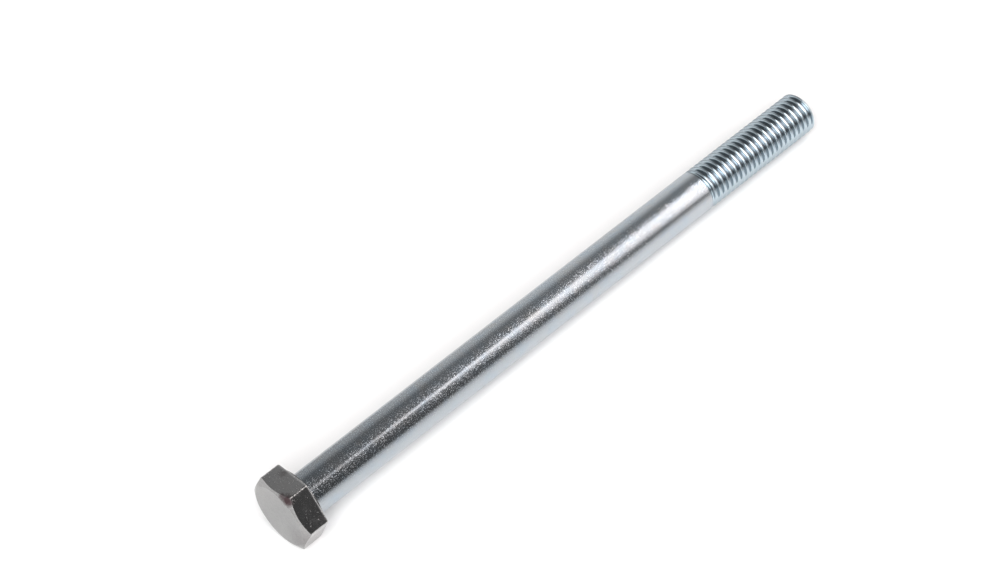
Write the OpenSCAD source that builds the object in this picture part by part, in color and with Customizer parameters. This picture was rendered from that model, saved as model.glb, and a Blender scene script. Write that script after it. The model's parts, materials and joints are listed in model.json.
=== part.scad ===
// Hex head bolt with a part thread, headed and thread-rolled from one piece of steel.
// Millimetres, +Z up. The bolt lies as it comes to rest on a flat surface at z = 0, on one flat
// of its head with its tip just off the surface, the head at -X and the tip at +X.
// The origin is on that surface, under the middle of the bolt.

/* [Head] */
// Width across the flats of the hexagon
head_af = 18.7; // [16:0.1:24]
// Height of the head, from the washer face to the top
head_h = 7.2; // [5:0.1:10]
// How far the circle of the flat top lies inside the flats
chamfer_inset = 0.65; // [0.2:0.05:1.5]
// Slope of the top chamfer
chamfer_angle = 30; // [15:1:45]
// How far trimming blunts each corner of the hexagon
corner_blunt = 0.1; // [0.04:0.02:0.4]
// Rounding of the hexagon's edges on the bearing side
under_edge_r = 0.5; // [0.1:0.05:1]
// Height of the raised washer face
washer_h = 0.4; // [0.15:0.05:0.8]
// How far the washer face lies inside the flats
washer_inset = 0.55; // [0.3:0.05:1.5]

/* [Shank] */
// Length from the washer face to the tip
bolt_len = 180; // [80:1:260]
// Diameter of the plain shank
shank_d = 11.8; // [8:0.05:14]
// Fillet between the washer face and the shank
fillet_r = 0.8; // [0.2:0.1:1.5]
// Slope of the shoulder where the shank steps down to the neck
shoulder_angle = 60; // [15:1:75]

/* [Thread] */
// Diameter over the crests
thread_d = 11.7; // [8:0.05:14]
// Distance from one turn to the next
pitch = 1.75; // [1:0.25:2.5]
// Width of the flat crest, as a share of the pitch
crest_share = 0.22; // [0.125:0.005:0.3]
// Length of full thread, measured from the tip
thread_len = 39.4; // [12:0.2:80]
// Length over which the rolled thread fades out
runout_len = 1; // [0.8:0.1:6]
// Length from the end of the shank to the fading thread
neck_len = 0.2; // [0.2:0.1:6]
// Where round the bolt the thread ends, from the flat that the bolt lies on
thread_turn = 247; // [0:1:359]
// How far the chamfer of the tip cuts in from the crests
tip_chamfer = 0.65; // [0.2:0.05:1.2]
// Flat sides for one turn of the thread
thread_sides = 36; // [16:4:48]

/* [Rest] */
// Gap left under the tip, so that the bolt is set down on its head first
rest_gap = 0.3; // [0.25:0.05:0.6]

/* [Hidden] */
$fn = 96;
steel = [0.72, 0.74, 0.77];

flat_r = head_af / 2;
corner_r = flat_r / cos(30) - corner_blunt;
top_r = flat_r - chamfer_inset;
washer_r = flat_r - washer_inset;
shank_r = shank_d / 2;
arc_steps = 5;

// A 60 degree thread: the rolls leave the crest low, so it is wider than an eighth of the pitch, and
// the flat root is a sixth
flank_angle = 30;
crest_flat = crest_share * pitch;
root_flat = pitch / 6;
flank_len = (pitch - crest_flat - root_flat) / 2;
thread_depth = flank_len / tan(flank_angle);
crest_r = thread_d / 2;
root_r = crest_r - thread_depth;
tip_r = crest_r - tip_chamfer;
tip_land = pitch / 8;

// Rolling pushes as much metal up as down, so the neck is at half the thread's depth
neck_r = crest_r - thread_depth / 2;
runout_z = bolt_len - thread_len - runout_len;
shoulder_z = runout_z - neck_len;
// The shoulder's cone ends this far inside the neck
seat = 0.3;

// The thread's surface is spanned by lines that climb round the bolt, four for each turn:
// the two edges of the root and the two edges of the crest
line_steps = [0, root_flat, root_flat + flank_len, root_flat + flank_len + crest_flat];
line_radii = [root_r, root_r, crest_r, crest_r];
turn_lines = len(line_steps);
// The last crest ends by the tip, and the first turn lies below the run-out
crest_end = line_steps[turn_lines - 1];
turns = ceil((bolt_len - tip_land - crest_end - runout_z) / pitch);
helix_z = bolt_len - tip_land - crest_end - pitch * (turns + 1);
last_line = turn_lines * turns + turn_lines - 1;

// At rest the bearing-side edge of a flat is on the surface and the crest by the tip is just above it
rest_head_x = -washer_h - under_edge_r;
rest_tip_x = bolt_len - tip_chamfer;
rest_tilt = atan((flat_r - crest_r - rest_gap) / (rest_tip_x - rest_head_x));
rest_lift = flat_r * cos(rest_tilt) + rest_head_x * sin(rest_tilt);
head_end_x = -head_h * cos(rest_tilt) - top_r * sin(rest_tilt);
tip_end_x = bolt_len * cos(rest_tilt) + tip_r * sin(rest_tilt);

function arc(cx, cy, r, from, to) =
    [for (i = [0 : arc_steps])
        let (a = from + (to - from) * i / arc_steps)
        [cx + r * cos(a), cy + r * sin(a)]];

// Outline of the head across one pair of flats, with rounded edges on the bearing side
module flat_pair_outline() {
    edge_x = flat_r - under_edge_r;
    edge_z = -washer_h - under_edge_r;
    polygon(concat(
        [[-flat_r, -head_h], [flat_r, -head_h]],
        arc(edge_x, edge_z, under_edge_r, 0, 90),
        arc(-edge_x, edge_z, under_edge_r, 90, 180)));
}

// The hexagon is where three pairs of flats meet
module hexagon() {
    intersection_for (turn = [0, 60, 120])
        rotate([0, 0, turn])
            rotate([90, 0, 0])
                linear_extrude(height = 4 * flat_r, center = true)
                    flat_pair_outline();
}

// The turned form of the head: flat top circle, top chamfer and blunted corners
module head_turning() {
    chamfer_h = (corner_r - top_r) * tan(chamfer_angle);
    rotate_extrude()
        polygon([
            [0, -head_h],
            [top_r, -head_h],
            [corner_r, -head_h + chamfer_h],
            [corner_r, 0],
            [0, 0]]);
}

module head() {
    intersection() {
        hexagon();
        head_turning();
    }
}

// Washer face, fillet, plain shank and the shoulder at its end
module shank() {
    seat_r = neck_r - seat;
    shoulder_len = (shank_r - seat_r) / tan(shoulder_angle);
    rotate_extrude()
        polygon(concat(
            [[0, -head_h / 2], [washer_r, -head_h / 2], [washer_r, 0]],
            arc(shank_r + fillet_r, fillet_r, fillet_r, 270, 180),
            [[shank_r, shoulder_z], [seat_r, shoulder_z + shoulder_len], [0, shoulder_z + shoulder_len]]));
}

function line_z(k, j) =
    helix_z + pitch * (floor(k / turn_lines) + j / thread_sides) + line_steps[k % turn_lines];

// Share of the thread's depth that the rolls have formed at a height
function formed(z) = max(0, min(1, (z - runout_z) / runout_len));

function line_r(k, z) =
    min(neck_r + (line_radii[k % turn_lines] - neck_r) * formed(z), tip_r + bolt_len - z);

function around(r, j, z) =
    let (a = 360 * j / thread_sides)
    [r * cos(a), r * sin(a), z];

function ring(r, z) = [for (j = [0 : thread_sides - 1]) around(r, j, z)];

// A line's end, after one turn, is the start of the line four further on
function thread_index(k, j) =
    let (line = j < thread_sides ? k : k + turn_lines)
    line <= last_line
        ? line * thread_sides + j % thread_sides
        : last_line * thread_sides + thread_sides + line - last_line - 1;

// Neck, run-out, right-hand thread and chamfered tip as one closed surface
module rolled_thread() {
    n = thread_sides;
    line_points = [
        for (k = [0 : last_line])
            for (j = [0 : n - 1])
                let (z = line_z(k, j))
                around(line_r(k, z), j, z)];
    last_turn_points = [
        for (k = [last_line + 1 : last_line + turn_lines])
            let (z = line_z(k, 0))
            around(line_r(k, z), 0, z)];
    foot = len(line_points) + len(last_turn_points);
    tip = foot + n;
    foot_z = min(shoulder_z, helix_z) - pitch;

    turn_faces = [
        for (k = [0 : last_line - 1])
            for (j = [0 : n - 1])
                let (a = thread_index(k, j), b = thread_index(k, j + 1))
                let (c = thread_index(k + 1, j), d = thread_index(k + 1, j + 1))
                each [[a, c, b], [b, c, d]]];
    neck = [
        for (j = [0 : n - 2])
            each [
                [foot + j, thread_index(0, j), foot + j + 1],
                [foot + j + 1, thread_index(0, j), thread_index(0, j + 1)]]];
    neck_seam = concat(
        [[foot + n - 1, n - 1, foot], [foot, n - 1, 0]],
        [for (k = [0 : turn_lines - 1]) [thread_index(k, 0), n - 1, thread_index(k + 1, 0)]]);
    tip_side = [
        for (j = [1 : n - 1])
            let (next = tip + (j + 1) % n)
            each [
                [thread_index(last_line, j), tip + j, thread_index(last_line, j + 1)],
                [thread_index(last_line, j + 1), tip + j, next]]];
    tip_hub = thread_index(last_line, 1);
    tip_seam = concat(
        [[tip_hub, tip, tip + 1], [tip_hub, thread_index(last_line + turn_lines, 0), tip]],
        [for (k = [last_line : last_line + turn_lines - 1])
            [tip_hub, thread_index(k, 0), thread_index(k + 1, 0)]]);
    foot_face = [[for (j = [0 : n - 1]) foot + j]];
    tip_face = [[for (j = [0 : n - 1]) tip + n - 1 - j]];

    polyhedron(
        points = concat(line_points, last_turn_points, ring(neck_r, foot_z), ring(tip_r, bolt_len)),
        faces = concat(turn_faces, neck, neck_seam, tip_side, tip_seam, foot_face, tip_face));
}

module hex_bolt() {
    color(steel)
        translate([-(head_end_x + tip_end_x) / 2, 0, rest_lift])
            rotate([0, 90 + rest_tilt, 0])
                union() {
                    head();
                    shank();
                    rotate([0, 0, thread_turn])
                        rolled_thread();
                }
}

hex_bolt();
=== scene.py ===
"""Zinc plated hex bolt, dressed for its picture.

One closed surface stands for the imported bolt. It is made of rows that run round the bolt's axis:
level rings from the top of the head to the neck, lines that climb with the thread, and level
rings again at the tip. Lengths are in metres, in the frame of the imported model.
"""

import json
import math

import bpy
import numpy as np
from mathutils import Matrix, Vector


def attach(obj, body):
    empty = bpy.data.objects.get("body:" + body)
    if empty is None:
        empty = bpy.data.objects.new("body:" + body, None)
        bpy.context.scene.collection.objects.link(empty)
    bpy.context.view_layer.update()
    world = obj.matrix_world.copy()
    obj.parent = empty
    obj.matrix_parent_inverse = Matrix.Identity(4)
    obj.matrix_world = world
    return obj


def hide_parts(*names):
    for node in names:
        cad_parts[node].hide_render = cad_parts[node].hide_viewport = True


bl_info = {
    "name": "Hex Bolt",
    "version": (1, 0, 0),
    "blender": (4, 5, 0),
    "location": "View3D > Sidebar > Hex Bolt",
    "description": "Makes a zinc plated hex bolt with a rolled thread, and a small studio for it",
    "category": "Object",
}

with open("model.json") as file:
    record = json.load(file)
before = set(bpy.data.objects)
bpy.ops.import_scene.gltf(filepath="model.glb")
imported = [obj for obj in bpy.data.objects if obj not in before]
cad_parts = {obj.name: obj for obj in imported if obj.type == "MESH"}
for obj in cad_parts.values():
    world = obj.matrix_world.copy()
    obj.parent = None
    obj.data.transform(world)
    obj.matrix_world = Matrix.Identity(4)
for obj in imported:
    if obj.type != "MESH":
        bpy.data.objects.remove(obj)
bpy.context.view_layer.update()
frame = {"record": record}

MM = 0.001
NODE = "hex_bolt"
BODY = "root"
SLOT = "zinc_plated_steel"
SENSOR_WIDTH = 36.0


def mount(name):
    """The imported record's mount of that name."""
    for entry in frame["record"]["mounts"]:
        if entry["name"] == name:
            return entry
    raise KeyError(f"the packed record has no mount named {name}")


BEARING_FACE = mount("bearing_face")
SHANK_PIN = mount("shank")

# Columns round the bolt, in degrees from a corner of the hexagon: close by the corner, wide on the flat
CORNER_STEPS = (0.35, 0.75, 1.2, 1.8, 2.8)
FLAT_STEPS = 7
SECTOR = math.radians(60)

# Softness of the edges, as a length
CORNER_SOFT = 0.012 * MM
CHAMFER_SOFT = 0.03 * MM
CREASE = 0.06 * MM
RIM = 0.12 * MM
SHOULDER_SOFT = 0.05 * MM
NECK_SOFT = 0.05 * MM
ROOT_SOFT = 0.06 * MM
CREST_SOFT = 0.025 * MM
TIP_SOFT = 0.03 * MM

# Rows of one turn of the thread, as shares of the half pitch on each side of the root's middle
HALF_TURN = (0.0, 0.115, 0.206, 0.309, 0.5, 0.69, 0.78, 0.86, 1.0)
# Slope of the rolled flanks: steeper than the solid's by a degree and a half, about the same middle
FLANK_ANGLE = math.radians(28.5)
# How far the groove takes to fade out by the tip, and the depth of the dish in the tip's end
GROOVE_FADE = 1.2 * MM
TIP_DISH = 0.06 * MM
# Stains on the head, and as the last entry a painted shade that darkens the whole lower flat, which faces
# the floor: distance along the axis, radius, angle from below, reach and strength
STAINS_AND_LOWER_FLAT_SHADE = (
    (-6.5 * MM, 9.9 * MM, 208.5, 2.2 * MM, 0.9),
    (-6.75 * MM, 9.5 * MM, 201, 1.5 * MM, 0.75),
    (-1.9 * MM, 9.6 * MM, 167, 1.6 * MM, 0.35),
    (-1.4 * MM, 10.2 * MM, 263, 1.5 * MM, 0.3),
    # Not a stain: painted shade over the whole lower flat, which faces the floor
    (-3.6 * MM, 9.35 * MM, 303, 8.5 * MM, 0.3),
)
PATCH_RAGGED = 2.2 * MM
# The window of the room: turn of its front and back edge for each step towards the tip, the softness
# of its edges and the reach of its fading
WINDOW_FRONT = 6.9
WINDOW_BACK = 3.6
WINDOW_SOFT = 0.005
WINDOW_FADE = 0.06
# Where along the bolt the speckle of the plating grows full, and where it calms down again
SPECKLE_REACH = (-80 * MM, -20 * MM)
SPECKLE_CALM = (10 * MM, 50 * MM)
# Textures of the plating, in repeats for each metre
COOL_SCALE = 260.0
WARM_SCALE = 190.0
MOTTLE_SCALE = 1300.0
SCUFF_SCALE = 1500.0
SMEAR_SCALE = 330.0
WEAR_AND_HIGHLIGHT_SCALE = 2200.0
BROKEN_SCALE = 650.0
RAGGED_SCALE = 900.0
DRAWN_SCALES = (90.0, 2600.0, 2600.0)
SPECKLE_SCALE = 3400.0
GRAIN_SCALE = 4200.0
PEEL_SCALE = 1500.0
PIT_SCALE = 3200.0
ROUGH_SCALE = 420.0
FLOOR_SCALE = 9.0
# How much of a thread, flat or face tint covers the plating's own colour
TINT_COVER = 0.85
# How far the mottled face of the head is darker and lighter than its tint
MOTTLE = (0.94, 1.06)
# Unevenness left by heading and drawing
CORNER_NICK = 0.05 * MM
NICK_LENGTH = 0.6 * MM
DRAWN_WAVE = 0.002 * MM


def length(name, description, default):
    """A length property, in metres."""
    return bpy.props.FloatProperty(
        name=name, description=description, default=default, min=0.0, precision=5,
        subtype="DISTANCE", unit="LENGTH")


def share(name, description, default, high=1.0):
    """A plain number property."""
    return bpy.props.FloatProperty(
        name=name, description=description, default=default, min=0.0, max=high,
        precision=3, subtype="FACTOR" if high == 1.0 else "NONE")


def colour(name, description, default):
    """A colour property, linear."""
    return bpy.props.FloatVectorProperty(
        name=name, description=description, default=default, size=3, min=0.0, max=1.0,
        subtype="COLOR")


def angle(name, description, degrees):
    """An angle property, given in degrees."""
    return bpy.props.FloatProperty(
        name=name, description=description, default=math.radians(degrees),
        subtype="ANGLE", unit="ROTATION")


def power(name, description, default):
    """The power of a lamp, in watts."""
    return bpy.props.FloatProperty(
        name=name, description=description, default=default, min=0.0, unit="POWER")


def place(name, description, default):
    """A place in the row frame, in metres."""
    return bpy.props.FloatVectorProperty(
        name=name, description=description, default=default, size=3, precision=5,
        subtype="TRANSLATION", unit="LENGTH")


class HexBoltSizes(bpy.types.PropertyGroup):
    """Sizes of the bolt, as in the part's source."""

    head_af: length("Across flats", "Width across the flats of the hexagon", 18.7 * MM)
    head_h: length("Head height", "From the washer face to the top", 7.2 * MM)
    chamfer_inset: length("Chamfer inset", "How far the top circle lies inside the flats", 0.65 * MM)
    chamfer_angle: angle("Chamfer slope", "Slope of the top chamfer", 30)
    corner_blunt: length("Corner blunting", "How far trimming blunts each corner", 0.1 * MM)
    under_edge_r: length("Bearing edge", "Rounding of the edges on the bearing side", 0.5 * MM)
    washer_h: length("Washer face height", "Height of the raised washer face", 0.4 * MM)
    washer_inset: length("Washer face inset", "How far the washer face lies inside the flats", 0.55 * MM)
    bolt_len: length("Length", "From the washer face to the tip", 180 * MM)
    shank_d: length("Shank diameter", "Diameter of the plain shank", 2 * SHANK_PIN["dims"]["r_mm"] * MM)
    fillet_r: length("Fillet", "Between the washer face and the shank", 0.8 * MM)
    shoulder_angle: angle("Shoulder slope", "Slope of the step down to the neck", 60)
    thread_d: length("Thread diameter", "Diameter over the crests", 11.7 * MM)
    pitch: length("Pitch", "Distance from one turn to the next", 1.75 * MM)
    crest_share: share("Crest", "Width of the flat crest, as a share of the pitch", 0.22)
    thread_len: length("Thread length", "Length of full thread, from the tip", 39.4 * MM)
    runout_len: length("Run-out", "Length over which the thread fades out", 1 * MM)
    neck_len: length("Neck", "Length from the shank to the run-out", 0.2 * MM)
    thread_turn: angle("Thread turn", "Where round the bolt the thread ends", 247)
    tip_chamfer: length("Tip chamfer", "How far the tip's chamfer cuts in from the crests", 0.65 * MM)


class HexBoltFinish(bpy.types.PropertyGroup):
    """Colours and textures of the plated steel."""

    zinc: colour("Zinc", "Colour of the clean plating", (0.45, 0.483, 0.512))
    cool_tint: colour("Cool tint", "Colour where the passivation turns blue", (0.418, 0.472, 0.522))
    warm_tint: colour("Warm tint", "Colour where the passivation turns straw", (0.458, 0.475, 0.487))
    # The head's plainer plating, made lighter as painted light on its flats
    flat_tint_and_light: colour("Flat tint", "Colour of the plating on the head's flats", (0.525, 0.517, 0.512))
    # Darker than the plating as painted shade on the head's top, chamfer and washer face
    face_tint_and_shade: colour("Face tint", "Colour of the duller plating on the head's top", (0.334, 0.331, 0.329))
    # Colour of rubbed edges and scuffs, also used for a painted highlight along the head's edges
    worn_and_highlit: colour("Worn edge", "Colour of the head's worn edges", (0.65, 0.65, 0.645))
    # Colour of the stains, also used for the painted shade on the lower flat
    stain_and_shade_colour: colour("Rust", "Colour of the stains on the head", (0.06, 0.029, 0.033))
    groove_tint: colour("Groove tint", "Colour of the bluer plating in the thread", (0.412, 0.488, 0.535))
    # Painted shade that darkens the deepest part of the thread's roots
    root_shade: colour("Root stain", "Colour of the film left in the thread's roots", (0.125, 0.142, 0.167))
    rim_tint: colour("Rim tint", "Tint of the plating where it is seen at a slant", (0.88, 0.88, 0.88))
    roughness: share("Roughness", "Roughness of the clean plating", 0.1)
    grain_depth: length("Grain depth", "Depth of the fine grain of the plating", 0.006 * MM)
    peel_depth: length("Peel depth", "Depth of the wider unevenness of the plating", 0.006 * MM)
    streak_depth: length("Streak depth", "Depth of the drawn lines along the shank", 0.003 * MM)
    pit_depth: length("Pit depth", "Depth of the small pits and nicks", 0.017 * MM)


class HexBoltStage(bpy.types.PropertyGroup):
    """Floor, room, lamps and camera."""

    floor_colour: colour("Floor", "Colour of the floor", (0.94, 0.94, 0.94))
    floor_size: length("Floor size", "Width of the floor", 24.0)
    window_low: share("Window edge", "Brightness at the edge of the room's window", 1.41, 10.0)
    window_high: share("Window middle", "Brightness in the middle of the window", 1.77, 10.0)
    window_end: share("Window end", "Brightness at the wide end of the window", 8.5, 10.0)
    window_tint: colour("Window tint", "Colour of the window's light", (1.0, 0.93, 0.915))
    window_start: share("Window start", "How far towards the tip the window's corner lies", 0.395)
    window_lean: angle("Window lean", "Lean of the window's corner from overhead", 33.5)
    fill_power: power("Fill", "Power of the fill lamp", 76.0)
    fill_size: length("Fill size", "Width of the fill lamp", 2.6)
    fill_place: place("Fill place", "Middle of the fill lamp", (-1.2, -1.5, 2.3))
    low_power: power("Low fill", "Power of the low lamp by the camera", 40.0)
    low_size: length("Low fill size", "Width of the low lamp", 2.7)
    low_place: place("Low fill place", "Middle of the low lamp", (-1.2, -2.1, 1.6))
    room_dark: share("Room", "Brightness of the room's dark part", 0.156)
    room_far: share("Far wall", "Brightness of the far side of the room", 0.54)
    room_left: share("Left wall", "Brightness added on the head's side of the room", 0.85)
    camera_place: place("Camera", "Place of the camera", (-0.297795, -0.395655, 0.497427))
    camera_aim: place("Aim", "Point of the floor in the middle of the picture", (0.001161, 0.023593, 0.0))
    camera_roll: angle("Roll", "How far the right of the picture dips", 11.734)
    camera_lens: share("Lens", "Focal length on a 36 mm sensor", 98.172, 500.0)


def soft_min(a, b, soft):
    """The smaller of two lengths, with the step between them rounded over a length."""
    return -soft * np.logaddexp(-a / soft, -b / soft)


def soft_max(a, b, soft):
    """The larger of two lengths, with the step between them rounded over a length."""
    return soft * np.logaddexp(a / soft, b / soft)


def smooth(x):
    """A step from 0 to 1 with level ends: 3x squared less 2x cubed."""
    x = np.clip(x, 0.0, 1.0)
    return x * x * (3 - 2 * x)


def wave(x, seed):
    """An uneven line between 0 and 1: the mean of four sines whose lengths have no common multiple."""
    rates = np.array([1.0, 1.73, 2.91, 4.37])
    starts = np.multiply.outer(seed, [1.9, 3.1, 0.7, 2.3])
    return 0.5 + 0.5 * np.mean(np.sin(np.multiply.outer(x, rates) + starts), axis=-1)


def column_angles():
    """Angles of the columns round the bolt, from the flat that the bolt lies on."""
    close = np.radians(CORNER_STEPS)
    wide = np.linspace(-SECTOR / 2, -close[-1], FLAT_STEPS + 1)[:-1]
    offsets = np.concatenate([wide, -close[::-1], [0.0], close, -wide[:0:-1]])
    corners = SECTOR * (np.arange(6) + 0.5)
    return (corners[:, None] + offsets).ravel()


def from_corner(theta):
    """Angle from the nearest corner of the hexagon, always positive."""
    return np.abs((theta % SECTOR) - SECTOR / 2)


def hexagon_radius(theta, apothem, limit):
    """Distance from the axis to a hexagon's side: the apothem over the cosine of the angle from
    the middle of that side, cut off softly at a limit so that the corner is blunt."""
    across = SECTOR / 2 - from_corner(theta)
    return soft_min(apothem / np.cos(across), limit, CORNER_SOFT)


def in_place(along, radius, theta):
    """Points at a distance along the axis from the bearing face, a radius, and an angle from below."""
    axis = np.array(BEARING_FACE["axis"], float)
    axis /= np.linalg.norm(axis)
    side = np.array([0.0, 1.0, 0.0])
    down = np.cross(side, axis)
    outward = np.multiply.outer(np.cos(theta), down) + np.multiply.outer(np.sin(theta), side)
    start = np.array(BEARING_FACE["pos_m"])
    return start + np.multiply.outer(along, axis) + np.asarray(radius)[..., None] * outward


class Rows:
    """Rows of the surface in order, each with its distance along the axis, its radius and its marks."""

    def __init__(self, theta):
        self.theta = theta
        self.parts = []

    def add(self, along, radius, edge=0.0, recess=0.0, drawn=0.0, headed=0.0):
        """Puts in a block of rows; anything given once holds for the whole block."""
        blank = np.zeros((np.shape(along)[0], self.theta.size))
        self.parts.append([blank + item for item in (along, radius, edge, recess, drawn, headed)])

    def stacked(self):
        """The rows as six whole arrays."""
        return [np.concatenate(items) for items in zip(*self.parts)]

    def count(self):
        """How many rows there are so far."""
        return sum(part[0].shape[0] for part in self.parts)


def column(values):
    """Row values set upright, so that they spread over the columns."""
    return np.asarray(values, float)[:, None]


def bend(start, corner, end, steps):
    """Points of a rounded edge: a curve from start to end that a corner point pulls towards itself."""
    t = column(np.linspace(0, 1, steps))
    return (1 - t) ** 2 * start + 2 * t * (1 - t) * corner + t ** 2 * end


def head_rows(rows, size):
    """The head from its top to the washer face. The top and its chamfer are a plane that turns softly
    into a cone; the sides are a hexagon; each edge is a short bend."""
    theta = rows.theta
    flat_r = size.head_af / 2
    corner_r = flat_r / math.cos(SECTOR / 2) - size.corner_blunt
    top_r = flat_r - size.chamfer_inset
    washer_r = flat_r - size.washer_inset
    slope = math.tan(size.chamfer_angle)
    near_corner = np.exp(-(from_corner(theta) / math.radians(1.1)) ** 2)

    def top(radius):
        return -size.head_h + slope * soft_max(radius - top_r, 0.0 * radius, CHAMFER_SOFT)

    disc = column([0.1, 0.3, 0.5, 0.7, 0.85, 0.95]) * top_r + 0 * theta
    rows.add(top(disc), disc, headed=1.0)
    rim = top_r + column([-0.2, -0.1, -0.05, 0.0, 0.05, 0.1, 0.2]) * MM + 0 * theta
    rows.add(top(rim), rim, edge=0.25, headed=1.0)
    side = hexagon_radius(theta, flat_r, corner_r)[None, :]
    inner, outer = rim[-1:], side - CREASE
    cone = inner + (outer - inner) * column([0.3, 0.6, 0.85])
    rows.add(top(cone), cone, headed=1.0)
    crease = top(side)
    rows.add(bend(top(outer), crease, crease + CREASE, 6), bend(outer, side, side, 6),
             edge=0.4, headed=1.0)

    edge_z = -size.washer_h - size.under_edge_r
    down = column(np.concatenate([[0.015], np.linspace(0.06, 1.0, 24)]))
    start = crease + CREASE
    along = start + (edge_z - start) * down
    corner = np.floor(theta / SECTOR)
    nick = CORNER_NICK * wave(along / NICK_LENGTH, 3.0 + corner)
    limit = corner_r - nick * smooth(down / 0.2)
    rows.add(along, hexagon_radius(theta, flat_r, limit), edge=near_corner, headed=0.5)

    turn = column(np.linspace(0, math.pi / 2, 9)[1:])
    apothem = flat_r - size.under_edge_r * (1 - np.cos(turn))
    limit = np.minimum(limit[-1:], apothem / math.cos(SECTOR / 2) - size.corner_blunt)
    under = hexagon_radius(theta, apothem, limit)
    rows.add(edge_z + size.under_edge_r * np.sin(turn), under, edge=0.7 + 0.3 * near_corner, headed=0.5)

    inward = column([0.25, 0.6, 0.93, 1.0])
    rows.add(-size.washer_h + 0 * inward, under[-1:] * (1 - inward) + washer_r * inward,
             recess=0.3, headed=1.0)
    rows.add(column([-0.75, -0.4]) * size.washer_h, washer_r, headed=1.0)
    rows.add(bend(-RIM, 0.0, 0.0, 5), bend(washer_r, washer_r, washer_r - RIM, 5), edge=0.6, headed=1.0)


def shank_rows(rows, size):
    """Washer face, fillet, shank and shoulder up to the neck. The fillet is a quarter circle, and the
    shoulder a cone that turns softly into the shank and the neck."""
    shank_r = size.shank_d / 2
    washer_r = size.head_af / 2 - size.washer_inset
    inner = shank_r + size.fillet_r
    inward = column([0.06, 0.35, 0.65, 0.95])
    rows.add(0 * inward, (washer_r - RIM) + (inner - washer_r + RIM) * inward)
    turn = column(np.linspace(math.pi / 2, 0, 11))
    rows.add(size.fillet_r * (1 - np.sin(turn)), inner - size.fillet_r * np.cos(turn), recess=0.35)

    shoulder = shoulder_place(size)
    along = column(np.linspace(size.fillet_r + 0.15 * MM, shoulder - 0.4 * MM, 70))
    reach = smooth((along - size.fillet_r) / (6 * MM)) * smooth((shoulder - along) / (4 * MM))
    waves = np.sin(3 * rows.theta + along / MM * 0.11) + np.sin(5 * rows.theta - along / MM * 0.07)
    rows.add(along, shank_r - DRAWN_WAVE * reach * (0.5 + 0.25 * waves), drawn=1.0)

    along = column(np.linspace(shoulder - 0.3 * MM, neck_end(size), 16)) + 0 * rows.theta
    fading = smooth((shoulder + 1 * MM - along) / (1.3 * MM))
    rows.add(along, neck_radius(rows.theta, along, size)[0], drawn=fading)


def shoulder_place(size):
    """Distance from the washer face to the end of the plain shank."""
    return size.bolt_len - size.thread_len - size.runout_len - size.neck_len


def neck_end(size):
    """Where the climbing lines start: the first root's middle past the start of the shoulder."""
    t = thread_sizes(size)
    shoulder = shoulder_place(size)
    return t["root_middle"] + size.pitch * math.ceil((shoulder + 0.4 * MM - t["root_middle"]) / size.pitch)


def neck_radius(theta, along, size):
    """Radius from the end of the shank on: the shoulder's cone where it stands above the thread."""
    shank_r = size.shank_d / 2
    cone = shank_r - (along - shoulder_place(size)) * math.tan(size.shoulder_angle)
    radius, deep = thread_radius(theta, along, size)
    shoulder = soft_min(shank_r + 0 * along, cone, SHOULDER_SOFT)
    return soft_max(shoulder, radius, NECK_SOFT), deep


def thread_sizes(size):
    """A 60 degree thread with a low, wide crest and a root of a sixth of the pitch, as in the solid."""
    crest_flat, root_flat = size.crest_share * size.pitch, size.pitch / 6
    flank = (size.pitch - crest_flat - root_flat) / 2
    depth = flank / math.tan(math.radians(30))
    crest_r = size.thread_d / 2
    crest_end = root_flat + flank + crest_flat
    tip_land = size.pitch / 8
    runout = size.bolt_len - size.thread_len - size.runout_len
    full = size.bolt_len - tip_land - crest_end
    turns = math.ceil((full - runout) / size.pitch)
    return {
        "crest_r": crest_r, "root_r": crest_r - depth, "neck_r": crest_r - depth / 2, "depth": depth,
        "flank_middle": (root_flat + flank) / 2, "tip_land": tip_land, "runout": runout,
        "tip_r": crest_r - size.tip_chamfer,
        "root_middle": full - size.pitch * (turns + 1 + size.thread_turn / (2 * math.pi)) + root_flat / 2,
    }


def thread_radius(theta, along, size):
    """Radius of the thread at an angle and a distance along the axis. The distance less a pitch for
    each turn of the angle gives the place in the groove; the groove is two flanks at 28.5 degrees
    from upright, with a rounded root and crest. It fades in over the run-out, fades out by the tip, and is
    cut by the tip's cone. Also gives how deep in the groove that is, from 0 to 1."""
    t = thread_sizes(size)
    turn = (along - t["root_middle"]) / size.pitch - theta / (2 * math.pi)
    off = np.abs((turn + 0.5) % 1.0 - 0.5) * size.pitch
    flank = t["neck_r"] + (off - t["flank_middle"]) / math.tan(FLANK_ANGLE)
    root, crest = t["root_r"] + 0 * flank, t["crest_r"] + 0 * flank
    groove = soft_min(soft_max(flank, root, ROOT_SOFT), crest, CREST_SOFT)
    formed = smooth((along - t["runout"]) / size.runout_len)
    ending = smooth((size.bolt_len - t["tip_land"] - along) / GROOVE_FADE)
    radius = t["neck_r"] + (groove - t["neck_r"]) * formed
    radius = t["crest_r"] - (t["crest_r"] - radius) * ending
    cone = t["tip_r"] + size.bolt_len - along
    deep = np.clip((t["crest_r"] - radius) / t["depth"], 0, 1) * formed
    return soft_min(radius, cone, TIP_SOFT), deep


def turn_offsets(size):
    """Distances of one turn's lines from the middle of its root, up one flank and down the next."""
    half = np.array(HALF_TURN)
    return np.concatenate([half, 2 - half[-2:0:-1]]) * size.pitch / 2


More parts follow.
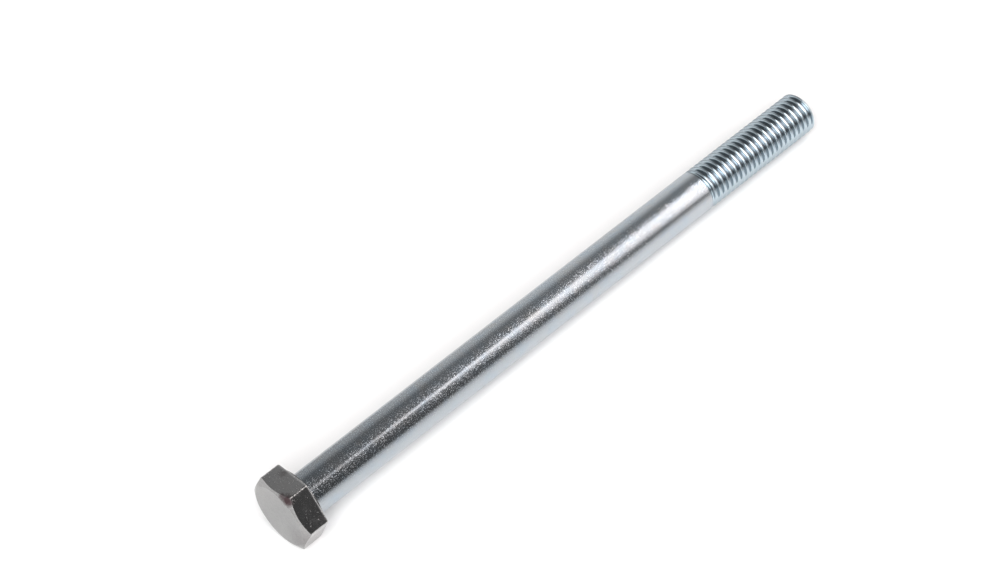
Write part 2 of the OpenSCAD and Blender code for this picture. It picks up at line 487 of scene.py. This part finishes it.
def thread_lines(rows, size):
    """Lines that climb a pitch in each turn. The first turn's lines fan out from a level ring and the
    last turn's close up to one. Gives the lines of a turn and the number of the last full line."""
    t = thread_sizes(size)
    offsets = turn_offsets(size)
    m = offsets.size
    first = neck_end(size)

    def lattice(k):
        return first + size.pitch * (k // m) + offsets[k % m]

    count = np.arange(m * 200)
    last = int(count[lattice(count) + size.pitch <= size.bolt_len - t["tip_land"]][-1])
    share_of_turn = rows.theta / (2 * math.pi)

    opening = np.arange(1 - m, 0)
    level = first + (column(lattice(opening)) - first + size.pitch) * share_of_turn
    full = column(lattice(np.arange(0, last + 1))) + size.pitch * share_of_turn
    closing = column(lattice(np.arange(last + 1, last + m + 1)))
    shut = closing + (lattice(last) + size.pitch - closing) * share_of_turn
    along = np.concatenate([level, full, shut])
    radius, deep = neck_radius(rows.theta, along, size)
    rows.add(along, radius, recess=deep, edge=smooth(1 - deep / 0.12) * 0.6)
    return m, last


def tip_rows(rows, size, start):
    """Level rings from the end of the thread over the chamfer and onto the tip, which is a shallow dish."""
    t = thread_sizes(size)
    along = column(np.linspace(start, size.bolt_len - RIM, 4)[1:])
    radius, deep = thread_radius(rows.theta, along + 0 * rows.theta, size)
    rows.add(along, radius, recess=deep)
    rows.add(bend(size.bolt_len - RIM, size.bolt_len, size.bolt_len, 5)[1:],
             bend(radius[-1:], t["tip_r"], t["tip_r"] - RIM, 5)[1:], edge=0.6)
    inner = t["tip_r"] - RIM
    q = column([0.97, 0.85, 0.65, 0.45, 0.25, 0.1])
    rows.add(size.bolt_len - TIP_DISH * smooth((1 - q) / 0.6), inner * q)


def grid_faces(ids):
    """Four-sided faces between the rows and columns of a grid of point numbers."""
    return np.stack([ids[:-1, :-1], ids[:-1, 1:], ids[1:, 1:], ids[1:, :-1]], axis=-1).reshape(-1, 4)


def bolt_surface(size):
    """Points, faces and marks of the whole bolt. A row's end meets its own start, except on the thread,
    where a line's end meets the start of the line one turn further on."""
    theta = column_angles()
    n = theta.size
    rows = Rows(theta)
    head_rows(rows, size)
    shank_rows(rows, size)
    ring = rows.count() - 1
    m, last = thread_lines(rows, size)
    closing_ring = rows.count() - 1
    tip_start = float(rows.parts[-1][0][-1, 0])
    tip_rows(rows, size, tip_start)
    along, radius, edge, recess, drawn, headed = rows.stacked()
    total = along.shape[0]

    ids = np.arange(total * n).reshape(total, n)
    # At the first column the opening turn's lines start in one point of the level ring
    ids[ring:ring + m + 1, 0] = ids[ring, 0]
    seam = ids[:, 0].copy()
    climbing = np.arange(ring, ring + m + last + 1)
    seam[climbing] = ids[climbing + m, 0]
    seam[ring + m + last:closing_ring + 1] = ids[closing_ring, 0]
    wide = np.concatenate([ids, seam[:, None]], axis=1)
    quads = grid_faces(wide)
    start_point = quads[:, 0] == quads[:, 3]
    end_point = quads[:, 1] == quads[:, 2]
    triangles = [
        quads[start_point & ~end_point][:, [0, 1, 2]],
        quads[end_point & ~start_point][:, [0, 1, 3]]]
    quads = quads[~start_point & ~end_point]
    head_pole, tip_pole = total * n, total * n + 1
    first_ring, last_ring = wide[0], wide[-1]
    triangles.append(np.stack([np.full(n, head_pole), first_ring[1:], first_ring[:-1]], axis=1))
    triangles.append(np.stack([np.full(n, tip_pole), last_ring[:-1], last_ring[1:]], axis=1))
    triangles = np.concatenate(triangles)

    points = in_place(along, radius, theta)
    poles = in_place(np.array([along[0].mean(), along[-1].mean()]), 0.0, 0.0)
    points = np.concatenate([points.reshape(-1, 3), poles])
    marks = {name: np.concatenate([item.ravel(), item[[0, -1], 0]])
             for name, item in (("edge", edge), ("recess", recess), ("drawn", drawn), ("headed", headed))}

    used, quads, triangles = used_only(points.shape[0], quads, triangles)
    return points[used], quads, triangles, {name: item[used] for name, item in marks.items()}


def used_only(count, quads, triangles):
    """Numbers the points again so that those which no face uses are left out."""
    keep = np.zeros(count, bool)
    keep[quads.ravel()] = True
    keep[triangles.ravel()] = True
    number = np.cumsum(keep) - 1
    return np.flatnonzero(keep), number[quads], number[triangles]


def mesh_from_arrays(name, points, quads, triangles, marks):
    """A smooth mesh from whole arrays, with its marks as point attributes."""
    mesh = bpy.data.meshes.new(name)
    mesh.from_pydata(points.tolist(), [], quads.tolist() + triangles.tolist())
    mesh.polygons.foreach_set("use_smooth", np.ones(len(mesh.polygons), bool))
    for mark, values in marks.items():
        mesh.attributes.new(mark, "FLOAT", "POINT").data.foreach_set("value", values.astype(np.float32))
    if mesh.validate():
        raise RuntimeError(f"{name} has faces that Blender had to mend")
    mesh.update()
    return mesh


class Nodes:
    """A material's node tree, with short calls to put nodes in and link them."""

    def __init__(self, tree):
        self.tree = tree
        tree.nodes.clear()

    def put(self, kind, inputs=None, **settings):
        """A node of that kind, with its settings and with each input linked or set."""
        node = self.tree.nodes.new(kind)
        for key, value in settings.items():
            setattr(node, key, value)
        for key, value in (inputs or {}).items():
            if isinstance(value, bpy.types.NodeSocket):
                self.tree.links.new(value, node.inputs[key])
            else:
                node.inputs[key].default_value = value
        return node

    def mark(self, name):
        """A point attribute's value."""
        return self.put("ShaderNodeAttribute", attribute_name=name).outputs["Fac"]

    def math(self, operation, a, b=0.0, clamp=False):
        """One sum of two values."""
        return self.put("ShaderNodeMath", {0: a, 1: b}, operation=operation, use_clamp=clamp).outputs[0]

    def ramp(self, value, low, high, to_low=0.0, to_high=1.0):
        """A smooth step of a value from one number to another."""
        return self.put("ShaderNodeMapRange", {
            "Value": value, "From Min": low, "From Max": high, "To Min": to_low, "To Max": to_high},
            interpolation_type="SMOOTHSTEP").outputs["Result"]

    def noise(self, where, scale, detail=2.0, roughness=0.5):
        """A noise value between 0 and 1."""
        return self.put("ShaderNodeTexNoise", {
            "Vector": where, "Scale": scale, "Detail": detail, "Roughness": roughness}).outputs["Fac"]

    def swing(self, value, reach):
        """A value between 0 and 1 as a swing to both sides of nothing, with a given reach."""
        return self.math("MULTIPLY", self.math("SUBTRACT", value, 0.5), reach)

    def within(self, value, *steps):
        """A value times a smooth step for each measure, with where the step starts and ends."""
        for measure, low, high in steps:
            value = self.math("MULTIPLY", value, self.ramp(measure, low, high))
        return value

    def mix(self, fac, a, b):
        """Two colours mixed."""
        node = self.put("ShaderNodeMix", data_type="RGBA")
        for socket, value in ((node.inputs[0], fac), (node.inputs[6], a), (node.inputs[7], b)):
            if isinstance(value, bpy.types.NodeSocket):
                self.tree.links.new(value, socket)
            else:
                socket.default_value = value
        return node.outputs[2]


def rgba(values):
    """A colour property as four numbers."""
    return (*values, 1.0)


def head_wear_and_highlight(n, where, edge, headed):
    """Masks of the wear on the head: scuffs and smears on its flats, and a broken line on its edges, partly
    wear and partly a painted highlight.
    """
    flats = n.math("MULTIPLY", n.ramp(headed, 0.1, 0.45), n.ramp(headed, 0.95, 0.55))
    scuff = n.math("MULTIPLY", n.ramp(n.noise(where, SCUFF_SCALE, 4.0, 0.6), 0.61, 0.69), flats)
    smear = n.math("MULTIPLY", n.ramp(n.noise(where, SMEAR_SCALE), 0.5, 0.68), flats)
    # A lighter broken line along the head's edges: wear, and a painted highlight
    uneven = n.math("ADD", edge, n.swing(n.noise(where, WEAR_AND_HIGHLIGHT_SCALE, 3.0), 1.2))
    worn_and_highlit = n.math("MULTIPLY", n.ramp(uneven, 0.6, 1.05), n.ramp(headed, 0.0, 0.4))
    worn_and_highlit = n.math("MULTIPLY", worn_and_highlit, n.ramp(n.noise(where, BROKEN_SCALE), 0.4, 0.55, 0.3, 1.0))
    return scuff, smear, worn_and_highlit


def head_stains_and_shade(n, where):
    """Mask of the stains on the head and of the painted shade on its lower flat: the distance from a
    patch's middle, made ragged by a noise, fades out over its reach; the strongest patch counts."""
    ragged = n.swing(n.noise(where, RAGGED_SCALE, 4.0, 0.7), PATCH_RAGGED)
    stain_and_shade_mask = 0.0
    for along, radius, degrees, reach, strength in STAINS_AND_LOWER_FLAT_SHADE:
        spot = tuple(in_place(along, radius, math.radians(degrees)))
        away = n.put("ShaderNodeVectorMath", {0: where, 1: spot}, operation="DISTANCE").outputs["Value"]
        mask = n.ramp(n.math("ADD", away, ragged), reach, 0.25 * reach, 0.0, strength)
        stain_and_shade_mask = n.math("MAXIMUM", stain_and_shade_mask, mask)
    return stain_and_shade_mask


def plating_relief(n, where, drawn, headed, finish):
    """Slope of the plating: scattered pits, then drawn lines along the shank, a wide peel and a fine
    grain, each as a bump on the one before."""
    along = n.put("ShaderNodeMapping", {"Vector": where, "Scale": DRAWN_SCALES}).outputs["Vector"]
    streak = n.math("MULTIPLY", n.noise(along, 1.0), drawn)
    grain = n.noise(where, GRAIN_SCALE, 2.0, 0.6)
    peel = n.noise(where, PEEL_SCALE)
    cells = n.put("ShaderNodeTexVoronoi", {"Vector": where, "Scale": PIT_SCALE}, feature="F1")
    chosen = n.put("ShaderNodeSeparateColor", {"Color": cells.outputs["Color"]}).outputs["Red"]
    pit = n.math("MULTIPLY", n.ramp(cells.outputs["Distance"], 0.5, 0.0), n.math("POWER", chosen, 4.0))
    pit = n.math("MULTIPLY", pit, n.ramp(headed, 0.0, 1.0, 1.0, 0.4))
    bump = n.put("ShaderNodeBump", {
        "Height": pit, "Strength": 1.0, "Distance": finish.pit_depth}, invert=True)
    for height, depth in (
            (streak, finish.streak_depth), (peel, finish.peel_depth), (grain, finish.grain_depth)):
        bump = n.put("ShaderNodeBump", {
            "Height": height, "Strength": 1.0, "Distance": depth, "Normal": bump.outputs["Normal"]})
    return bump.outputs["Normal"]


def zinc_material(finish):
    """Bright zinc on drawn steel: a metal whose blue and straw tints drift, bluer in the thread with
    painted shade darkening its roots, and plainer on the head: lightened on the flats as painted light,
    with a mottled face darkened as painted shade, scuffed flats, rubbed edges with a painted highlight
    along them, a few stains and painted shade over the lower flat. A speckle roughens the shank."""
    material = bpy.data.materials.new(SLOT)
    material.use_nodes = True
    n = Nodes(material.node_tree)
    where = n.put("ShaderNodeTexCoord").outputs["Object"]
    edge, recess, drawn, headed = (n.mark(name) for name in ("edge", "recess", "drawn", "headed"))
    scuff, smear, worn_and_highlit = head_wear_and_highlight(n, where, edge, headed)
    stain_and_shade_mask = head_stains_and_shade(n, where)

    cool = n.ramp(n.noise(where, COOL_SCALE, 3.0), 0.4, 0.7)
    warm = n.ramp(n.noise(where, WARM_SCALE, 3.0), 0.5, 0.75)
    tint = n.mix(cool, rgba(finish.zinc), rgba(finish.cool_tint))
    tint = n.mix(warm, tint, rgba(finish.warm_tint))
    # Plainer plating on the head, lightened as painted light on the flats
    tint = n.mix(n.ramp(headed, 0.0, 0.5, 0.0, TINT_COVER), tint, rgba(finish.flat_tint_and_light))
    # The head's top, chamfer and washer face: a mottled copy of the face colour, darker than the plating as
    # painted shade
    mottle = n.ramp(n.noise(where, MOTTLE_SCALE, 3.0, 0.6), 0.35, 0.65)
    darker, lighter = (rgba([factor * value for value in finish.face_tint_and_shade]) for factor in MOTTLE)
    face = n.mix(mottle, darker, lighter)
    tint = n.mix(n.ramp(headed, 0.5, 1.0, 0.0, TINT_COVER), tint, face)
    tint = n.mix(n.math("MULTIPLY", scuff, 0.5), tint, rgba(finish.worn_and_highlit))
    # Rubbed edges of the head, lightened further as a painted highlight
    tint = n.mix(n.math("MULTIPLY", worn_and_highlit, 0.8), tint, rgba(finish.worn_and_highlit))
    threaded = n.math("SUBTRACT", 1.0, n.math("MAXIMUM", drawn, n.ramp(headed, 0.0, 0.5)))
    tint = n.mix(n.math("MULTIPLY", threaded, TINT_COVER), tint, rgba(finish.groove_tint))
    # Painted shade in the deepest roots of the thread
    tint = n.mix(n.ramp(recess, 0.86, 0.99, 0.0, 0.8), tint, rgba(finish.root_shade))
    # Stains, and painted shade on the lower flat
    tint = n.mix(stain_and_shade_mask, tint, rgba(finish.stain_and_shade_colour))

    ahead = n.put("ShaderNodeSeparateXYZ", {"Vector": where}).outputs["X"]
    speckle = n.ramp(n.noise(where, SPECKLE_SCALE, 2.0, 0.6), 0.52, 0.65)
    speckle = n.math("MULTIPLY", speckle, n.ramp(ahead, *SPECKLE_REACH, 0.85, 1.0))
    speckle = n.math("MULTIPLY", speckle, n.ramp(ahead, *SPECKLE_CALM, 1.0, 0.6))
    rough = n.math("ADD", finish.roughness, n.swing(n.noise(where, ROUGH_SCALE, 3.0), 0.12))
    rough = n.math("ADD", rough, n.math("MULTIPLY", speckle, n.ramp(drawn, 0.0, 1.0, 0.03, 0.23)))
    rough = n.math("MULTIPLY", rough, n.ramp(recess, 0.05, 0.4, 1.0, 0.55))
    rough = n.math("ADD", rough, n.ramp(headed, 0.5, 1.0, 0.0, 0.08))
    for mask, amount in ((worn_and_highlit, 0.25), (scuff, 0.3), (smear, 0.05)):
        rough = n.math("ADD", rough, n.math("MULTIPLY", mask, amount))
    rough = n.math("ADD", rough, n.math("MULTIPLY", stain_and_shade_mask, 0.3), clamp=True)

    shader = n.put("ShaderNodeBsdfPrincipled", {
        "Base Color": tint, "Metallic": 1.0, "Roughness": rough, "Specular Tint": rgba(finish.rim_tint),
        "Normal": plating_relief(n, where, drawn, headed, finish)})
    n.put("ShaderNodeOutputMaterial", {"Surface": shader.outputs["BSDF"]})
    return material


def floor_material(stage):
    """A glossy pale sheet with a clear coat and a faint unevenness."""
    material = bpy.data.materials.new("pale_floor")
    material.use_nodes = True
    n = Nodes(material.node_tree)
    where = n.put("ShaderNodeTexCoord").outputs["Object"]
    cloud = n.ramp(n.noise(where, FLOOR_SCALE, 3.0), 0.3, 0.7)
    darker = [0.985 * value for value in stage.floor_colour]
    tone = n.mix(cloud, rgba(darker), rgba(stage.floor_colour))
    shader = n.put("ShaderNodeBsdfPrincipled", {
        "Base Color": tone, "Roughness": 0.22, "Coat Weight": 1.0, "Coat Roughness": 0.16})
    n.put("ShaderNodeOutputMaterial", {"Surface": shader.outputs["BSDF"]})
    return material


def link(thing):
    """Puts an object into the scene."""
    bpy.context.scene.collection.objects.link(thing)
    return thing


def room_glow(n, parts, stage):
    """Brightness of a dim room: darkest by the camera, and lighter on its far side, past the tip and
    behind the head. The parts are those of the direction."""
    ahead, across = parts["X"], parts["Y"]
    far = n.ramp(across, 0.35, 1.0, stage.room_dark, stage.room_far)
    far = n.math("MULTIPLY", far, n.ramp(across, -0.1, -0.8, 1.0, 0.6))
    lean = n.put("ShaderNodeMapRange", {
        "Value": ahead, "From Min": 0.3, "From Max": 0.6, "To Min": 0.6, "To Max": 2.9}).outputs["Result"]
    lean = n.math("MULTIPLY", lean, n.ramp(ahead, 0.52, 0.62, 1.0, 0.5))
    left = n.ramp(ahead, -0.25, -0.65, 0.0, stage.room_left)
    return n.math("ADD", n.math("MULTIPLY", far, lean), left)


def window_glow(n, parts, stage):
    """Brightness of a window past the tip. It starts at a blunt corner, widens away from the bolt and
    has a bright end. A thin streak lies before its corner, and a low glow under its far end."""
    ahead = parts["X"]
    turn = n.math("ARCTAN2", n.math("MULTIPLY", parts["Y"], -1.0), parts["Z"])
    off = n.math("SUBTRACT", turn, stage.window_lean)
    edge = n.math("MAXIMUM", n.math("DIVIDE", off, WINDOW_FRONT), n.math("DIVIDE", off, -WINDOW_BACK))
    inside = n.math("SUBTRACT", n.math("SUBTRACT", ahead, stage.window_start), edge)

    body = n.ramp(inside, 0.0, WINDOW_FADE, stage.window_low, stage.window_high)
    body = n.math("MULTIPLY", body, n.ramp(ahead, 0.4, 0.5, 1.25, 0.8))
    body = n.within(body, (ahead, 0.7, 0.56))
    end = n.ramp(ahead, 0.54, 0.565, 0.0, stage.window_end - stage.window_high)
    end = n.within(end, (off, 0.62, 0.42), (ahead, 0.7, 0.63))
    bright = n.within(
        n.math("ADD", body, end),
        (inside, -WINDOW_SOFT, WINDOW_SOFT), (off, 0.85, 0.75), (off, -0.8, -0.65))

    streak = n.math("ADD", n.ramp(ahead, 0.28, 0.34, 0.0, 0.38), n.ramp(ahead, 0.37, 0.4, 0.0, 0.8))
    streak = n.within(streak, (n.math("ABSOLUTE", off), 0.16, 0.0), (ahead, 0.43, 0.395))
    under = n.ramp(ahead, 0.47, 0.52, 0.0, 0.5)
    under = n.within(under, (off, 0.5, 0.7), (ahead, 0.55, 0.52))
    return n.math("ADD", bright, n.math("ADD", streak, under))


def room_light(stage):
    """The light of the room and of its window, added to each other."""
    world = bpy.data.worlds.new("studio")
    world.use_nodes = True
    n = Nodes(world.node_tree)
    way = n.put("ShaderNodeTexCoord").outputs["Generated"]
    parts = n.put("ShaderNodeSeparateXYZ", {"Vector": way}).outputs
    room = n.put("ShaderNodeBackground", {
        "Color": (1.0, 1.0, 1.0, 1.0), "Strength": room_glow(n, parts, stage)})
    window = n.put("ShaderNodeBackground", {
        "Color": rgba(stage.window_tint), "Strength": window_glow(n, parts, stage)})
    both = n.put("ShaderNodeAddShader", {0: room.outputs["Background"], 1: window.outputs["Background"]})
    n.put("ShaderNodeOutputWorld", {"Surface": both.outputs["Shader"]})
    bpy.context.scene.world = world


def lamp(name, watts, width, where):
    """A round lamp that faces the bolt."""
    data = bpy.data.lights.new(name, "AREA")
    data.shape = "DISK"
    data.size = width
    data.energy = watts
    thing = link(bpy.data.objects.new(name, data))
    thing.location = where
    thing.rotation_euler = Vector(where).to_track_quat("Z", "Y").to_euler()
    return thing


def floor_sheet(stage):
    """A square sheet at the floor's height: a plane over a grid of two lengths, with an upward face in
    each cell."""
    steps = np.linspace(-0.5, 0.5, 9) * stage.floor_size
    x, y = np.meshgrid(steps, steps)
    points = np.stack([x.ravel(), y.ravel(), 0 * x.ravel()], axis=1)
    ids = np.arange(x.size).reshape(x.shape)
    quads = grid_faces(ids)
    mesh = bpy.data.meshes.new("floor")
    mesh.from_pydata(points.tolist(), [], quads.tolist())
    mesh.materials.append(floor_material(stage))
    return link(bpy.data.objects.new("floor", mesh))


def camera(stage):
    """A camera at its place, turned to its aim and rolled about its own line of sight."""
    data = bpy.data.cameras.new("camera")
    data.sensor_fit = "HORIZONTAL"
    data.sensor_width = SENSOR_WIDTH
    data.lens = stage.camera_lens
    data.clip_start, data.clip_end = 0.01, 100.0
    thing = link(bpy.data.objects.new("camera", data))
    spot, aim = Vector(stage.camera_place), Vector(stage.camera_aim)
    turn = (aim - spot).to_track_quat("-Z", "Y").to_matrix() @ Matrix.Rotation(-stage.camera_roll, 3, "Z")
    thing.matrix_world = Matrix.Translation(spot) @ turn.to_4x4()
    bpy.context.scene.camera = thing


class HEXBOLT_OT_make_bolt(bpy.types.Operator):
    """Make the zinc plated bolt"""

    bl_idname = "hexbolt.make_bolt"
    bl_label = "Make the bolt"

    def execute(self, context):
        scene = context.scene
        points, quads, triangles, marks = bolt_surface(scene.hex_bolt_sizes)
        mesh = mesh_from_arrays("plated_hex_bolt", points, quads, triangles, marks)
        mesh.materials.append(zinc_material(scene.hex_bolt_finish))
        bolt = link(bpy.data.objects.new("plated_hex_bolt", mesh))
        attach(bolt, BODY)
        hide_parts(NODE)
        return {"FINISHED"}


class HEXBOLT_OT_set_stage(bpy.types.Operator):
    """Set up the floor, the light of the room, the lamps and the camera"""

    bl_idname = "hexbolt.set_stage"
    bl_label = "Set the stage"

    def execute(self, context):
        stage = context.scene.hex_bolt_stage
        floor_sheet(stage)
        room_light(stage)
        lamp("fill", stage.fill_power, stage.fill_size, stage.fill_place)
        lamp("low_fill", stage.low_power, stage.low_size, stage.low_place)
        camera(stage)
        context.scene.view_settings.view_transform = "Standard"
        return {"FINISHED"}


class HEXBOLT_PT_sidebar(bpy.types.Panel):
    """Sizes, finish and stage of the bolt"""

    bl_label = "Hex Bolt"
    bl_idname = "HEXBOLT_PT_sidebar"
    bl_space_type = "VIEW_3D"
    bl_region_type = "UI"
    bl_category = "Hex Bolt"

    def draw(self, context):
        scene = context.scene
        for group, title, operator in (
                (scene.hex_bolt_sizes, "Sizes", None),
                (scene.hex_bolt_finish, "Finish", HEXBOLT_OT_make_bolt.bl_idname),
                (scene.hex_bolt_stage, "Stage", HEXBOLT_OT_set_stage.bl_idname)):
            box = self.layout.box()
            box.label(text=title)
            for name in group.__annotations__:
                box.prop(group, name)
            if operator:
                box.operator(operator)


CLASSES = (
    HexBoltSizes, HexBoltFinish, HexBoltStage,
    HEXBOLT_OT_make_bolt, HEXBOLT_OT_set_stage, HEXBOLT_PT_sidebar,
)


def register():
    for item in CLASSES:
        bpy.utils.register_class(item)
    bpy.types.Scene.hex_bolt_sizes = bpy.props.PointerProperty(type=HexBoltSizes)
    bpy.types.Scene.hex_bolt_finish = bpy.props.PointerProperty(type=HexBoltFinish)
    bpy.types.Scene.hex_bolt_stage = bpy.props.PointerProperty(type=HexBoltStage)


def unregister():
    del bpy.types.Scene.hex_bolt_stage
    del bpy.types.Scene.hex_bolt_finish
    del bpy.types.Scene.hex_bolt_sizes
    for item in reversed(CLASSES):
        bpy.utils.unregister_class(item)


def main():
    register()
    bpy.ops.hexbolt.make_bolt()
    bpy.ops.hexbolt.set_stage()


if __name__ == "__main__":
    main()
